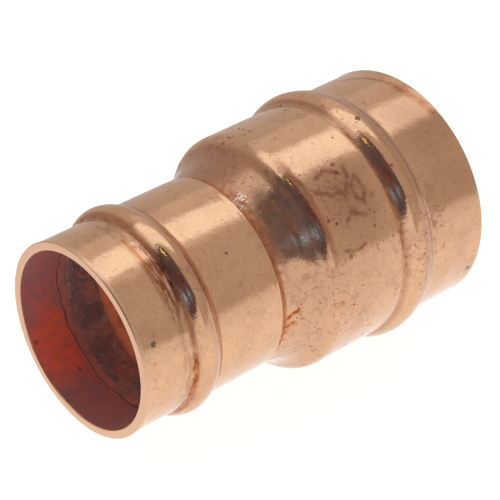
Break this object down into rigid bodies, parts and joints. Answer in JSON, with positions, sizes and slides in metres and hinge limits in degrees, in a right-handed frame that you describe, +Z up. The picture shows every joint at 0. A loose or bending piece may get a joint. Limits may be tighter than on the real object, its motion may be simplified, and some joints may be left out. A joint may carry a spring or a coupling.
{
  "type": "solder ring reducing coupling",
  "caption": "Copper reducing coupling for 28 mm to 22 mm water tube, with a solder ring held in the groove behind each socket's raised bead.",
  "frame": {"origin": "on the coupling's axis, halfway along its length", "axes": "+X along the axis from the 22 mm mouth to the 28 mm mouth, +Z up as it lies on its side"},
  "size_m": [0.0508, 0.0326, 0.0326],
  "materials": {
    "copper": "bright drawn copper with oxide specks and faint tarnish",
    "solder": "dull tin-rich solder, slightly stained"
  },
  "bodies": {
    "root": {"fitting_body": "copper", "solder_ring_22": "solder", "solder_ring_28": "solder"}
  },
  "joints": []
}
